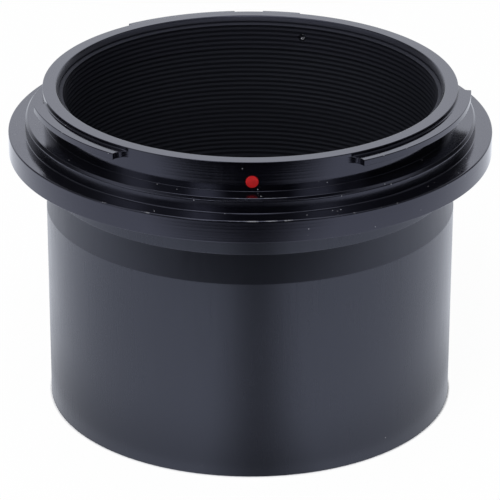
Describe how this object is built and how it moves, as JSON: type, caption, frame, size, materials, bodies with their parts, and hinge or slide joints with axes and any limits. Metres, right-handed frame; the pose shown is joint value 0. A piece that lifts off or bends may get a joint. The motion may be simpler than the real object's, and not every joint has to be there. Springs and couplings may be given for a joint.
{
  "type": "telescope camera adapter",
  "caption": "Black nosepiece barrel with a camera bayonet ring on top, for hanging a camera body on a telescope's eyepiece holder.",
  "frame": {"origin": "centre of the barrel's open end, on the optical axis, where the adapter stands", "axes": "+Z along the optical axis from the telescope to the camera, -Y towards the index dot"},
  "size_m": [0.0598, 0.0598, 0.0413],
  "materials": {
    "ring_anodising": "turned and anodised glossy black",
    "barrel_anodising": "turned and anodised satin black",
    "red_enamel": "glossy red",
    "pin_steel": "plain ground steel"
  },
  "bodies": {
    "root": {"bayonet_ring": "ring_anodising", "nosepiece_barrel": "barrel_anodising", "index_dot": "red_enamel", "stop_pin": "pin_steel"}
  },
  "joints": []
}
